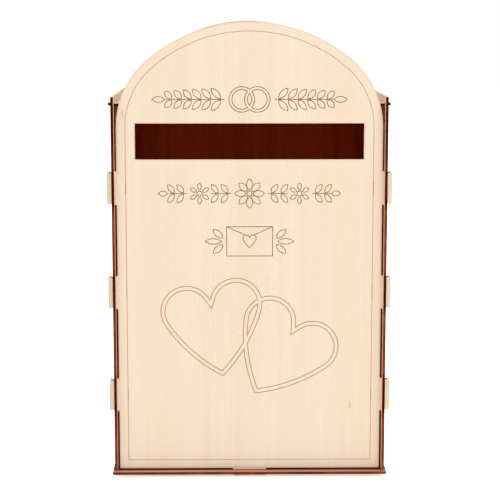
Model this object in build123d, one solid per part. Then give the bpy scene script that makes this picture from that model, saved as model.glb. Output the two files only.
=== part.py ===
from build123d import *
import os
from math import atan2, cos, degrees, pi, radians, sin, sqrt

# Wedding card box: a post-box shaped money and card box, cut by laser from thin plywood.
# Millimetres. X to the right, front towards -Y, Z up. The origin is the middle of the
# base's underside, and the tenon ends that the box stands on are FOOT below it.

# ---- Overall sizes -------------------------------------------------------------------
BOX_HEIGHT = 420.0        # tenon ends to the top of the arch
PANEL_WIDTH = 241.5       # front and back panels, between their straight edges
BOX_DEPTH = 210.0         # base, front to back
PLY = 2.5                 # plywood sheet

# ---- Panels --------------------------------------------------------------------------
FOOT = 3.5                # the tenons reach this far below the base
RIM = 8.0                 # the base stands this far proud of both panels
SIDE_GAP = 1.8            # panel edge to the inner face of a side
BASE_LIP = 2.0            # the base reaches this far past the sides, all round
BOTTOM_GAP = 1.5          # lower edges of the walls to the base
ARCH_RISE = 94.4          # springing line to the top of the arch
SHOULDER_RADIUS = 78.5
SIDE_DROP = 66.7          # arch top down to the top of the sides
TOP_PLATE_DROP = 6.4      # side top down to the upper face of the top plate

# ---- Snap tabs and tenons ------------------------------------------------------------
TAB_LENGTH = 31.0         # a tenon, and the shoulders of a tab that stop at the wall
TAB_REACH = 4.6           # past the outer face of a side, on the two arched panels
TOP_TAB_REACH = 4.0       # the same, on the top plate
TAB_LOW_MARGIN = 71.9     # base to the middle of the lowest tab
TAB_HIGH_MARGIN = 82.9    # side top to the middle of the highest tab
TAB_ROWS = 3
NECK_STEP = 1.6           # the neck in the wall is this much narrower, each side
BARB = 1.5                # a barb is this much wider than its neck, each side
BARB_PEAK = 0.65          # where the barb is widest, as a share of the reach
TIP_DROP = 2.0            # the tip is this much narrower than the barb, each side
TIP_CHAMFER = 1.3         # end corners of a tenon
SHOULDER_REST = 3.0       # a side rests on the base this far beyond its tenons
TENON_END_MARGIN = 37.0   # end of the base to the middle of its nearest tenon, and of the tab over it
FIT = 0.15                # slot clearance round a tab, each side
SLIDE = 0.1               # slot clearance on the sheet thickness, each side
PLATE_GAP = 0.2           # top plate edges to the panels round it

# ---- Letter slot and engraving -------------------------------------------------------
SLOT_HEIGHT = 32.6
SLOT_DROP = 90.9          # arch top down to the slot
SLOT_MARGIN = 17.05       # slot end to the panel edge
LINE_WIDTH = 0.75
LINE_DEPTH = 0.35
BORDER_INSET = 8.2        # panel edge to the middle of the border line
ROW_GAP_SHARES = (0.145, 0.14, 0.175)   # of the free height between slot and border
STEM_GAP = 0.9            # stem to the foot of a leaf

# ---- Linked rings between two leaf sprigs --------------------------------------------
SPRIG_DROP = 69.3         # arch top down to the middle of the row
SPRIG_MARGIN = 32.4       # panel edge to the tip of the row
RING_RADIUS = 11.5
RING_BAND = 2.6
RING_SPREAD = 7.0         # middle of the row to the middle of a ring
RING_STEM_GAP = 4.0
SPRIG_PAIRS = 6
SPRIG_FIRST = 0.35        # the first leaf pair, as a share of the pitch
SPRIG_LEAF = 12.5         # length of the first pair
SPRIG_TAPER = 0.7         # each pair is this much shorter than the one before
SPRIG_LEAN = 48.0
SPRIG_TIP = 13.0          # the tip leaf with its gaps
SPRIG_LEAF_HALF = 2.6     # half the width of a leaf

# ---- Garland of blossoms -------------------------------------------------------------
GARLAND_HEIGHT = 28.0
GARLAND_MARGIN = 38.0     # panel edge to the tip of the row
BLOSSOM_EYE = 2.2
PETAL_GAP = 1.0
PETAL_SLIMNESS = 0.27     # half the width of a petal, as a share of its length
BIG_BLOSSOM = (10.2, 8)   # petal length and count
SMALL_BLOSSOM = (6.4, 6)
SMALL_BLOSSOM_PLACE = 0.55              # as a share of the row's half length
BIG_CLEARANCE = 16.5      # middle of the big blossom to the stem
SMALL_CLEARANCE = (11.0, 11.5)          # stem ends to the middle of a small blossom
GARLAND_PAIRS = (2, 2)    # leaf pairs on the inner and the outer stem
GARLAND_FIRST = 0.3
GARLAND_LEAN = 52.0
GARLAND_LEAF = (9.4, 2.3)               # length and half width
GARLAND_TIP = 9.0         # the tip leaf with its gaps

# ---- Envelope with a heart seal ------------------------------------------------------
ENVELOPE_WIDTH = 42.0
ENVELOPE_HEIGHT = 27.0
SEAL_SCALE = 0.13         # of the large hearts
SEAL_DROP = 1.0           # middle of the envelope down to the middle of the seal
FLAP_OVERLAP = 0.5        # the creases meet this far over the seal's notch
FAN_GAP = 4.5             # envelope to the foot of each fan leaf
FAN_LEAVES = ((42, 12.0), (0, 15.0), (-42, 12.0))     # lean and length

# ---- Linked hearts -------------------------------------------------------------------
HEART_NOTCH = 72.3        # tip to notch
LOBE_RADIUS = 23.8
LOBE_HEIGHT = 64.9        # tip to the level of the lobe centres
NOTCH_HALF_ANGLE = 27.0
LOBE_END_ANGLE = 25.0     # the lobe runs on this far below the level before the long side
HEART_BAND = 3.7
LEFT_HEART = (-24.6, 16.4, 9.3)         # tip x, tip height over the pair's foot, tilt
RIGHT_HEART = (4.9, 0.0, -31.0)
HEARTS_HEIGHT = 108.0     # foot to top of the pair

# ---- Door in the back panel ----------------------------------------------------------
DOOR_SIDE_MARGIN = 41.0   # panel edge to the doorway
DOOR_LOW_MARGIN = 68.0    # base to the doorway
DOOR_HIGH_MARGIN = 70.0   # doorway to the top plate
DOOR_GAP = 0.5            # laser kerf and trim, all round the door
HINGE_END_MARGIN = 34.0   # door end to the middle of a hinge
LEAF_LENGTH = 25.0
LEAF_WIDTH = 11.0
LEAF_THICK = 1.0
LEAF_CORNER = 2.0
LEAF_BOLT_PLACE = 0.62    # hinge line to the bolts, as a share of the leaf's width
KNUCKLE_RADIUS = 1.7
KNUCKLE_GAP = 0.2
PIN_RADIUS = 0.8
PIN_RUN = 0.05            # radial clearance of the turning knuckle
PIN_HEAD_RADIUS = 1.3
PIN_HEAD = 0.6
DOME = 0.6                # rounding of a domed head, as a share of its height
BOLT_RADIUS = 1.25
BOLT_HOLE_RADIUS = 1.35
BOLT_HEAD_RADIUS = 2.3
BOLT_HEAD = 1.3
BOLT_DRIVE_WIDTH = 0.6
BOLT_END = 0.6            # thread past the nut
BOLT_SPREAD = 14.0        # between the two bolts of a leaf
NUT_ACROSS = 5.0
NUT_THICK = 2.0

# ---- Cam lock ------------------------------------------------------------------------
LOCK_MARGIN = 22.0        # free edge of the door to the lock
LOCK_HOLE_GAP = 0.15
BARREL_RADIUS = 7.5
BARREL_LENGTH = 10.0      # behind the outer face of the door
FLANGE_RADIUS = 9.5
FLANGE_THICK = 2.2
LOCK_ROUND = 0.45         # rounding of the lock's turned edges, as a share of their height
LOCK_NUT_ACROSS = 20.0
LOCK_NUT_THICK = 3.0
PLUG_RADIUS = 5.0
PLUG_RUN = 0.05
PLUG_HEAD_RADIUS = 6.4
PLUG_HEAD = 0.8
PLUG_END_GAP = 0.3
CAM_SQUARE = 5.6
CAM_THICK = 1.6
CAM_WIDTH = 11.0
CAM_LENGTH = 32.0         # lock axis to the tip
CAM_FLAT = 13.0           # lock axis to the joggle
CAM_JOGGLE = 6.0
CAM_GAP = 0.4             # tip of the cam to the back of the panel
CAM_SCREW_RADIUS = 1.5
CAM_SCREW_HEAD_RADIUS = 4.2
CAM_SCREW_HEAD = 1.8
CAM_SCREW_DEPTH = 4.0
KEY_THICK = 1.8
KEY_WIDTH = 6.4
KEY_DEPTH = 8.5           # blade inside the plug
KEY_GAP = 0.15
KEY_NECK = 4.0
KEY_BOW_RADIUS = 9.5
KEY_BOW_PLACE = 0.9       # shoulder end to the middle of the bow, as a share of its radius
KEY_EYE_RADIUS = 2.6
KEY_EYE_PLACE = 0.45      # middle of the bow to the eye, as a share of the bow's radius
KEY_SHOULDER = 1.2        # the neck is this much wider than the blade, each side
KEY_POINT = (0.8, 1.6)    # the tip's chamfer, along and across
KEY_CUTS = (1.6, 0.9, 1.9, 1.2)         # depth of each cut from the tip
KEY_CUT_HALF = 0.45       # half the width of a cut

# ---- Places worked out from the sizes ------------------------------------------------
ARCH_TOP = BOX_HEIGHT - FOOT
HALF_PANEL = PANEL_WIDTH / 2
SIDE_IN = HALF_PANEL + SIDE_GAP
SIDE_OUT = SIDE_IN + PLY
SIDE_Y = BOX_DEPTH / 2 - BASE_LIP       # ends of a side, from the middle
BASE_TOP = PLY
PANEL_LOW = BASE_TOP + BOTTOM_GAP
FACE_Y = BOX_DEPTH / 2 - RIM            # outer face of both panels, from the middle
INNER_Y = FACE_Y - PLY
SIDE_TOP = ARCH_TOP - SIDE_DROP
PLATE_TOP = SIDE_TOP - TOP_PLATE_DROP
PLATE_LOW = PLATE_TOP - PLY
TAB_LOW = BASE_TOP + TAB_LOW_MARGIN
TAB_PITCH = (SIDE_TOP - TAB_HIGH_MARGIN - TAB_LOW) / (TAB_ROWS - 1)
TAB_LEVELS = [TAB_LOW + row * TAB_PITCH for row in range(TAB_ROWS)]
TENON_Y = BOX_DEPTH / 2 - TENON_END_MARGIN
SLOT_TOP = ARCH_TOP - SLOT_DROP
SLOT_LOW = SLOT_TOP - SLOT_HEIGHT
BORDER_LOW = PANEL_LOW + BORDER_INSET

DOORWAY_HALF = HALF_PANEL - DOOR_SIDE_MARGIN
DOORWAY_LOW = BASE_TOP + DOOR_LOW_MARGIN
DOORWAY_TOP = PLATE_LOW - DOOR_HIGH_MARGIN
DOOR_HALF = DOORWAY_HALF - DOOR_GAP
DOOR_MIDDLE = (DOORWAY_LOW + DOORWAY_TOP) / 2
HINGE_X = DOORWAY_HALF - DOOR_GAP / 2
HINGE_Y = FACE_Y + KNUCKLE_RADIUS
HINGE_LEVELS = {
    "upper": DOORWAY_TOP - DOOR_GAP - HINGE_END_MARGIN,
    "lower": DOORWAY_LOW + DOOR_GAP + HINGE_END_MARGIN,
}
LOCK_X = LOCK_MARGIN - DOOR_HALF
LOCK_Z = DOOR_MIDDLE
BARREL_END = FACE_Y - BARREL_LENGTH

FRONT = Plane(origin=(0, -FACE_Y, 0), x_dir=(1, 0, 0), z_dir=(0, -1, 0))
BACK = Plane(origin=(0, FACE_Y, 0), x_dir=(1, 0, 0), z_dir=(0, -1, 0))


# ---- Flat outlines -------------------------------------------------------------------
def loop(points_and_arcs):
    """A face from a closed run of edges, each a pair (line) or three points (arc)."""
    edges = []
    for points in points_and_arcs:
        if len(points) == 2:
            edges.append(Line(*points))
        else:
            edges.append(ThreePointArc(*points))
    return make_face(edges)


def flip(point):
    """The same point on the other side of the vertical middle line."""
    return (-point[0], point[1])


def arch_outline(inset=0.0):
    """The arch-topped panel, drawn in by a distance: a crown arc between two shoulders."""
    span = HALF_PANEL - SHOULDER_RADIUS
    crown = (span**2 + ARCH_RISE**2 - SHOULDER_RADIUS**2) / (2 * (ARCH_RISE - SHOULDER_RADIUS))
    spring = ARCH_TOP - ARCH_RISE
    crown_z = ARCH_TOP - crown
    turn = atan2(spring - crown_z, span)
    crown_in = crown - inset
    shoulder_in = SHOULDER_RADIUS - inset
    low = (HALF_PANEL - inset, PANEL_LOW + inset)
    foot = (HALF_PANEL - inset, spring)
    bend = (span + shoulder_in * cos(turn / 2), spring + shoulder_in * sin(turn / 2))
    meet = (crown_in * cos(turn), crown_z + crown_in * sin(turn))
    top = (0, ARCH_TOP - inset)
    return loop([
        (low, foot), (foot, bend, meet), (meet, top, flip(meet)),
        (flip(meet), flip(bend), flip(foot)), (flip(foot), flip(low)), (flip(low), low),
    ])


def snap_tab(root, wall, reach):
    """A tab pointing along +X: a shoulder, a neck through the wall, a barb and a tip."""
    shoulder = TAB_LENGTH / 2
    neck = shoulder - NECK_STEP
    outer = wall + PLY
    upper = [
        (root, shoulder), (wall, shoulder), (wall, neck), (outer, neck),
        (outer + BARB_PEAK * reach, neck + BARB), (outer + reach, neck + BARB - TIP_DROP),
    ]
    lower = [(x, -y) for x, y in reversed(upper)]
    return make_face(Polyline(*upper, *lower, close=True))


def tenon(root, tip):
    """A plain tenon pointing along -Y in the drawing, with its end corners taken off."""
    half = TAB_LENGTH / 2
    cut = TIP_CHAMFER
    points = [
        (-half, root), (-half, tip + cut), (cut - half, tip),
        (half - cut, tip), (half, tip + cut), (half, root),
    ]
    return make_face(Polyline(*points, close=True))


def rectangle(x_low, x_high, z_low, z_high):
    """A rectangle given by its edges."""
    centre = ((x_low + x_high) / 2, (z_low + z_high) / 2)
    return Pos(*centre) * Rectangle(x_high - x_low, z_high - z_low)


def block(low, high):
    """A box given by its lowest and highest corners."""
    size = [b - a for a, b in zip(low, high)]
    middle = [(a + b) / 2 for a, b in zip(low, high)]
    return Pos(*middle) * Box(*size)


# ---- Engraved ornament ---------------------------------------------------------------
def leaf(length, half_width, grow):
    """A pointed leaf along +X from the origin: two equal arcs, moved out by a distance."""
    radius = (length**2 / 4 + half_width**2) / (2 * half_width)
    drop = radius - half_width
    reach = radius + grow
    half = sqrt(reach**2 - drop**2)
    ends = (length / 2 - half, 0), (length / 2 + half, 0)
    top = (length / 2, half_width + grow)
    low = (length / 2, -half_width - grow)
    return loop([(ends[0], top, ends[1]), (ends[1], low, ends[0])])


def leaf_line(length, half_width):
    """The engraved outline of a leaf."""
    edge = LINE_WIDTH / 2
    return leaf(length, half_width, edge) - leaf(length, half_width, -edge)


def ring_line(radius):
    """An engraved circle."""
    return Circle(radius + LINE_WIDTH / 2) - Circle(radius - LINE_WIDTH / 2)


def band_lines(shapes, band):
    """The outline of joined bands. shapes are functions of an offset from the outer edge."""
    edge = LINE_WIDTH / 2
    wide = Sketch() + [shape(edge) - shape(-band - edge) for shape in shapes]
    narrow = Sketch() + [shape(-edge) - shape(edge - band) for shape in shapes]
    return wide - narrow


def heart(offset):
    """A heart with its tip near the origin, its outline moved out by a distance."""
    slope = radians(NOTCH_HALF_ANGLE)
    end = radians(-LOBE_END_ANGLE)
    normal = (cos(slope), -sin(slope))
    lobe_x = (LOBE_RADIUS + (LOBE_HEIGHT - HEART_NOTCH) * sin(slope)) / cos(slope)
    lobe = (lobe_x, LOBE_HEIGHT)
    out = (cos(end), sin(end))
    last = (lobe[0] + LOBE_RADIUS * out[0], lobe[1] + LOBE_RADIUS * out[1])
    lean = lobe[0] * out[0] + lobe[1] * out[1] + LOBE_RADIUS
    side = (last[0] ** 2 + last[1] ** 2) / (2 * lean)
    centre = (last[0] - side * out[0], last[1] - side * out[1])
    radius = LOBE_RADIUS + offset
    long_radius = side + offset
    notch = (0, HEART_NOTCH + offset / sin(slope))
    first = (lobe[0] - radius * normal[0], lobe[1] - radius * normal[1])
    crest = (lobe[0] + radius * cos(pi / 3), lobe[1] + radius * sin(pi / 3))
    last = (lobe[0] + radius * out[0], lobe[1] + radius * out[1])
    tip = (0, centre[1] - sqrt(long_radius**2 - centre[0] ** 2))
    foot_angle = atan2(tip[1] - centre[1], -centre[0])
    half_way = (foot_angle + end) / 2
    belly = (centre[0] + long_radius * cos(half_way), centre[1] + long_radius * sin(half_way))
    return loop([
        (notch, first), (first, crest, last), (last, belly, tip),
        (tip, flip(belly), flip(last)), (flip(last), flip(crest), flip(first)),
        (flip(first), notch),
    ])


def placed_heart(place, foot):
    """A heart as a function of its offset, at its tip and tilt."""
    x, rise, tilt = place

    def shape(offset):
        return Pos(x, foot + rise) * Rot(0, 0, tilt) * heart(offset)

    return shape


def hearts(foot):
    """Two linked hearts, drawn as the outline of their joined bands."""
    shapes = [placed_heart(place, foot) for place in (LEFT_HEART, RIGHT_HEART)]
    return band_lines(shapes, HEART_BAND)


def leaf_pairs(side, starts, sizes, lean, half_width, level):
    """Pairs of leaves that lean away from a stem, on one side of the middle line."""
    turn = 0 if side > 0 else 180
    return [
        Pos(side * x, level) * Rot(0, 0, turn + way * lean) * Pos(STEM_GAP, 0)
        * leaf_line(size, half_width)
        for x, size in zip(starts, sizes) for way in (1, -1)
    ]


def stem_line(side, start, end, level):
    """A straight engraved stem, on one side of the middle line."""
    return Pos(side * (start + end) / 2, level) * Rectangle(end - start, LINE_WIDTH)


def tip_leaf(side, foot, length, half_width, level):
    """The leaf that ends a stem."""
    turn = 0 if side > 0 else 180
    place = Pos(side * foot, level) * Rot(0, 0, turn) * Pos(STEM_GAP, 0)
    return place * leaf_line(length, half_width)


def sprig_row(level, half_length):
    """Two linked rings with a sprig of paired leaves each side."""
    def placed_ring(x):
        return lambda offset: Pos(x, level) * Circle(RING_RADIUS + offset)

    rings = [placed_ring(-RING_SPREAD), placed_ring(RING_SPREAD)]
    lines = [band_lines(rings, RING_BAND)]
    start = RING_SPREAD + RING_RADIUS + RING_STEM_GAP
    end = half_length - SPRIG_TIP
    step = (end - start) / SPRIG_PAIRS
    starts = [start + (k + SPRIG_FIRST) * step for k in range(SPRIG_PAIRS)]
    sizes = [SPRIG_LEAF - SPRIG_TAPER * k for k in range(SPRIG_PAIRS)]
    tip = SPRIG_TIP - STEM_GAP - LINE_WIDTH / 2
    for side in (1, -1):
        lines += leaf_pairs(side, starts, sizes, SPRIG_LEAN, SPRIG_LEAF_HALF, level)
        lines.append(stem_line(side, start, end, level))
        lines.append(tip_leaf(side, end, tip, SPRIG_LEAF_HALF, level))
    return lines


def blossom(x, level, petal, count):
    """A round flower: a small ring with pointed petals."""
    lines = [Pos(x, level) * ring_line(BLOSSOM_EYE)]
    for k in range(count):
        turn = 90 + 360 * k / count
        place = Pos(x, level) * Rot(0, 0, turn) * Pos(BLOSSOM_EYE + PETAL_GAP, 0)
        lines.append(place * leaf_line(petal, petal * PETAL_SLIMNESS))
    return lines


def garland_row(level, half_length):
    """A large blossom between two small ones, with paired leaves along the stems."""
    lines = blossom(0, level, *BIG_BLOSSOM)
    flower = half_length * SMALL_BLOSSOM_PLACE
    stems = [(BIG_CLEARANCE, flower - SMALL_CLEARANCE[0]),
             (flower + SMALL_CLEARANCE[1], half_length - GARLAND_TIP)]
    size, half_width = GARLAND_LEAF
    for side in (1, -1):
        lines += blossom(side * flower, level, *SMALL_BLOSSOM)
        for (start, end), count in zip(stems, GARLAND_PAIRS):
            step = (end - start) / count
            starts = [start + (k + GARLAND_FIRST) * step for k in range(count)]
            lines += leaf_pairs(side, starts, [size] * count, GARLAND_LEAN, half_width, level)
            lines.append(stem_line(side, start, end, level))
        tip = GARLAND_TIP - STEM_GAP
        lines.append(tip_leaf(side, stems[1][1], tip, half_width, level))
    return lines


def seal(offset):
    """The small heart of the envelope, its outline moved out by a distance."""
    foot = -SEAL_DROP - SEAL_SCALE * HEART_NOTCH / 2
    return Pos(0, foot) * scale(heart(offset / SEAL_SCALE), by=SEAL_SCALE)


def envelope(level):
    """A closed envelope with a small heart as its seal, between two fans of leaves."""
    half, rise = ENVELOPE_WIDTH / 2, ENVELOPE_HEIGHT / 2
    edge = LINE_WIDTH / 2
    whole = Rectangle(2 * half + LINE_WIDTH, 2 * rise + LINE_WIDTH)
    lines = whole - Rectangle(2 * half - LINE_WIDTH, 2 * rise - LINE_WIDTH)
    flap_z = SEAL_SCALE * HEART_NOTCH / 2 - SEAL_DROP + FLAP_OVERLAP
    crease = sqrt(half**2 + (rise - flap_z) ** 2)
    fall = degrees(atan2(flap_z - rise, half))
    for side in (1, -1):
        place = Pos(side * half / 2, (rise + flap_z) / 2) * Rot(0, 0, -side * fall)
        lines += place * Rectangle(crease, LINE_WIDTH)
    lines = ((lines - seal(edge)) & whole) + (seal(edge) - seal(-edge))
    drawn = [Pos(0, level) * lines]
    for side in (1, -1):
        turn = 0 if side > 0 else 180
        for lean, size in FAN_LEAVES:
            place = Pos(side * half, level) * Rot(0, 0, turn + lean) * Pos(FAN_GAP, 0)
            drawn.append(place * leaf_line(size, SPRIG_LEAF_HALF))
    return drawn


def engraving():
    """Every engraved line of the front panel, as flat faces."""
    edge = LINE_WIDTH / 2
    border = arch_outline(BORDER_INSET - edge) - arch_outline(BORDER_INSET + edge)
    rows = GARLAND_HEIGHT + ENVELOPE_HEIGHT + HEARTS_HEIGHT
    free = SLOT_LOW - BORDER_LOW - rows
    gaps = [share * free for share in ROW_GAP_SHARES]
    garland_z = SLOT_LOW - gaps[0] - GARLAND_HEIGHT / 2
    envelope_z = garland_z - GARLAND_HEIGHT / 2 - gaps[1] - ENVELOPE_HEIGHT / 2
    hearts_z = envelope_z - ENVELOPE_HEIGHT / 2 - gaps[2] - HEARTS_HEIGHT
    drawn = [border, hearts(hearts_z)]
    drawn += sprig_row(ARCH_TOP - SPRIG_DROP, HALF_PANEL - SPRIG_MARGIN)
    drawn += garland_row(garland_z, HALF_PANEL - GARLAND_MARGIN)
    drawn += envelope(envelope_z)
    return drawn


# ---- Plywood panels ------------------------------------------------------------------
def panel_face():
    """The arched outline with its side tabs and its bottom tenon."""
    face = arch_outline()
    for level in TAB_LEVELS:
        tab = snap_tab(HALF_PANEL - 1, SIDE_IN, TAB_REACH)
        face += Pos(0, level) * tab
        face += Pos(0, level) * mirror(tab, about=Plane.YZ)
    return face + tenon(PANEL_LOW + 1, -FOOT)


def front_panel():
    """The arched front, with the letter slot and the engraving."""
    slot = HALF_PANEL - SLOT_MARGIN
    face = panel_face() - rectangle(-slot, slot, SLOT_LOW, SLOT_TOP)
    panel = extrude(FRONT * face, amount=-PLY)
    grooves = [extrude(FRONT * drawn, amount=-LINE_DEPTH) for drawn in engraving()]
    return panel - Part(grooves)


def hinge_bolt_places(side):
    """Middle of each bolt of the two leaves on one side of the hinge line (1 is the frame)."""
    x = HINGE_X + side * LEAF_WIDTH * LEAF_BOLT_PLACE
    return [
        (x, level + end * BOLT_SPREAD / 2) for level in HINGE_LEVELS.values() for end in (1, -1)
    ]


def bolt_holes(side):
    """Holes through the plywood for the bolts of one side."""
    return [Pos(x, z) * Circle(BOLT_HOLE_RADIUS) for x, z in hinge_bolt_places(side)]


def back_panel():
    """The arched back, with the doorway and the hinge bolt holes."""
    doorway = rectangle(-DOORWAY_HALF, DOORWAY_HALF, DOORWAY_LOW, DOORWAY_TOP)
    face = panel_face() - doorway - bolt_holes(1)
    return extrude(BACK * face, amount=PLY)


def back_door():
    """The door, with the hinge bolt holes and the lock hole."""
    face = rectangle(-DOOR_HALF, DOOR_HALF, DOORWAY_LOW + DOOR_GAP, DOORWAY_TOP - DOOR_GAP)
    lock_hole = Pos(LOCK_X, LOCK_Z) * Circle(BARREL_RADIUS + LOCK_HOLE_GAP)
    return extrude(BACK * (face - bolt_holes(-1) - lock_hole), amount=PLY)


def side_panel(side):
    """A rectangular side, with slots for the arched panels and the top plate. It rests on
    the base beside its tenons."""
    x_low, x_high = sorted((side * SIDE_IN, side * SIDE_OUT))
    panel = block((x_low, -SIDE_Y, PANEL_LOW), (x_high, SIDE_Y, SIDE_TOP))
    tab = TAB_LENGTH / 2 - NECK_STEP + FIT
    rest = TAB_LENGTH / 2 + SHOULDER_REST
    shape = tenon(PANEL_LOW + 1, -FOOT) + rectangle(-rest, rest, BASE_TOP, PANEL_LOW + 1)
    for end in (1, -1):
        y_low, y_high = sorted((end * (INNER_Y - SLIDE), end * (FACE_Y + SLIDE)))
        for level in TAB_LEVELS:
            panel -= block((x_low, y_low, level - tab), (x_high, y_high, level + tab))
        y = end * TENON_Y
        panel -= block((x_low, y - tab, PLATE_LOW - SLIDE), (x_high, y + tab, PLATE_TOP + SLIDE))
        foot = Plane(origin=(x_low, y, 0), x_dir=(0, 1, 0), z_dir=(1, 0, 0))
        panel += extrude(foot * shape, amount=PLY)
    return panel


def base_plate():
    """The base, with a slot for each tenon."""
    half_width = SIDE_OUT + BASE_LIP
    half_depth = BOX_DEPTH / 2
    base = block((-half_width, -half_depth, 0), (half_width, half_depth, BASE_TOP))
    tab = TAB_LENGTH / 2 + FIT
    for end in (1, -1):
        y_low, y_high = sorted((end * (INNER_Y - SLIDE), end * (FACE_Y + SLIDE)))
        base -= block((-tab, y_low, 0), (tab, y_high, BASE_TOP))
        x_low, x_high = sorted((end * (SIDE_IN - SLIDE), end * (SIDE_OUT + SLIDE)))
        for y in (TENON_Y, -TENON_Y):
            base -= block((x_low, y - tab, 0), (x_high, y + tab, BASE_TOP))
    return base


def top_plate():
    """The flat top between the four walls, with two snap tabs at each side."""
    face = rectangle(PLATE_GAP - SIDE_IN, SIDE_IN - PLATE_GAP, PLATE_GAP - INNER_Y,
                     INNER_Y - PLATE_GAP)
    tab = snap_tab(SIDE_IN - 1, SIDE_IN, TOP_TAB_REACH)
    for y in (TENON_Y, -TENON_Y):
        face += Pos(0, y) * tab
        face += Pos(0, y) * mirror(tab, about=Plane.YZ)
    return extrude(Plane.XY.offset(PLATE_LOW) * face, amount=PLY)


# ---- Hinges --------------------------------------------------------------------------
def upright(radius, z_low, z_high, x=HINGE_X, y=HINGE_Y):
    """A cylinder about a vertical axis, the hinge line unless another is given."""
    return Pos(x, y, (z_low + z_high) / 2) * Cylinder(radius, z_high - z_low)


def leaf_spans(level, side):
    """Height ranges of a leaf's own knuckles: the ends on the frame, the middle on the door."""
    third = LEAF_LENGTH / 3
    low = level - LEAF_LENGTH / 2
    spans = [(low + k * third, low + (k + 1) * third) for k in range(3)]
    cut = KNUCKLE_GAP / 2
    if side > 0:
        return [(spans[0][0], spans[0][1] - cut), (spans[2][0] + cut, spans[2][1])]
    return [(spans[1][0] + cut, spans[1][1] - cut)]


def hinge_leaf(level, side):
    """One leaf: a plate cut back beside the other leaf's knuckles, and its own knuckles."""
    half = LEAF_LENGTH / 2
    plate = Pos(side * LEAF_WIDTH / 2, 0) * RectangleRounded(LEAF_WIDTH, LEAF_LENGTH, LEAF_CORNER)
    plate += Pos(side * LEAF_WIDTH / 4, 0) * Rectangle(LEAF_WIDTH / 2, LEAF_LENGTH)
    clear = KNUCKLE_RADIUS + KNUCKLE_GAP
    keep = Sketch()
    for low, high in leaf_spans(level, side):
        keep += rectangle(-clear, clear, low - level, high - level)
    cut = Rectangle(2 * clear, 2 * half + 1) - keep
    place = Plane(origin=(HINGE_X, FACE_Y, level), x_dir=(1, 0, 0), z_dir=(0, -1, 0))
    leaf_body = extrude(place * (plate - cut), amount=-LEAF_THICK)
    for low, high in leaf_spans(level, side):
        leaf_body += upright(KNUCKLE_RADIUS, low, high)
    bore = PIN_RADIUS if side > 0 else PIN_RADIUS + PIN_RUN
    leaf_body -= upright(bore, level - half - 1, level + half + 1)
    for x, z in hinge_bolt_places(side):
        leaf_body -= across(BOLT_HOLE_RADIUS, FACE_Y - 1, FACE_Y + LEAF_THICK + 1, x, z)
    return leaf_body


def hinge_pin(level):
    """The pin of one hinge, with a domed head at each end."""
    half = LEAF_LENGTH / 2
    pin = upright(PIN_RADIUS, level - half, level + half)
    for end in (1, -1):
        low, high = sorted((level + end * half, level + end * (half + PIN_HEAD)))
        head = upright(PIN_HEAD_RADIUS, low, high)
        rim = head.edges().group_by(Axis.Z)[-1 if end > 0 else 0]
        pin += fillet(rim, PIN_HEAD * DOME)
    return pin


def across(radius, y_low, y_high, x, z):
    """A cylinder about an axis that runs front to back."""
    return Pos(x, (y_low + y_high) / 2, z) * Rot(90, 0, 0) * Cylinder(radius, y_high - y_low)


def hex_nut(width, bore, y_low, y_high, x, z):
    """A hexagon nut about an axis that runs front to back."""
    face = RegularPolygon(width / 2, 6, major_radius=False) - Circle(bore)
    place = Plane(origin=(x, y_low, z), x_dir=(1, 0, 0), z_dir=(0, 1, 0))
    return extrude(place * face, amount=y_high - y_low)


def hinge_bolts(side):
    """The bolts of one side: a domed head on the leaf, and a shank through to the nut."""
    seat = FACE_Y + LEAF_THICK
    end = INNER_Y - NUT_THICK - BOLT_END
    bolts = []
    for x, z in hinge_bolt_places(side):
        head = across(BOLT_HEAD_RADIUS, seat, seat + BOLT_HEAD, x, z)
        head = fillet(head.edges().group_by(Axis.Y)[-1], BOLT_HEAD * DOME)
        drive = block((x - BOLT_HEAD_RADIUS, seat + BOLT_HEAD / 2, z - BOLT_DRIVE_WIDTH / 2),
                      (x + BOLT_HEAD_RADIUS, seat + BOLT_HEAD, z + BOLT_DRIVE_WIDTH / 2))
        bolts.append(head - drive + across(BOLT_RADIUS, end, seat, x, z))
    return bolts


def hinge_nuts(side):
    """The nuts behind the plywood on one side."""
    return [
        hex_nut(NUT_ACROSS, BOLT_RADIUS, INNER_Y - NUT_THICK, INNER_Y, x, z)
        for x, z in hinge_bolt_places(side)
    ]


# ---- Cam lock ------------------------------------------------------------------------
def lock_barrel():
    """The fixed barrel: a rounded flange outside the door and a bored body through it."""
    flange = across(FLANGE_RADIUS, FACE_Y, FACE_Y + FLANGE_THICK, LOCK_X, LOCK_Z)
    flange = fillet(flange.edges().group_by(Axis.Y)[-1], FLANGE_THICK * LOCK_ROUND)
    barrel = flange + across(BARREL_RADIUS, BARREL_END, FACE_Y, LOCK_X, LOCK_Z)
    bore = PLUG_RADIUS + PLUG_RUN
    return barrel - across(bore, BARREL_END - 1, FACE_Y + FLANGE_THICK + 1, LOCK_X, LOCK_Z)


def lock_nut():
    """The nut that clamps the barrel to the door from inside."""
    low = INNER_Y - LOCK_NUT_THICK
    return hex_nut(LOCK_NUT_ACROSS, BARREL_RADIUS, low, INNER_Y, LOCK_X, LOCK_Z)


PLUG_SEAT = FACE_Y + FLANGE_THICK + PLUG_RUN
PLUG_FACE = PLUG_SEAT + PLUG_HEAD
PLUG_END = BARREL_END - PLUG_END_GAP
CAM_BACK = PLUG_END - CAM_THICK


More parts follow.
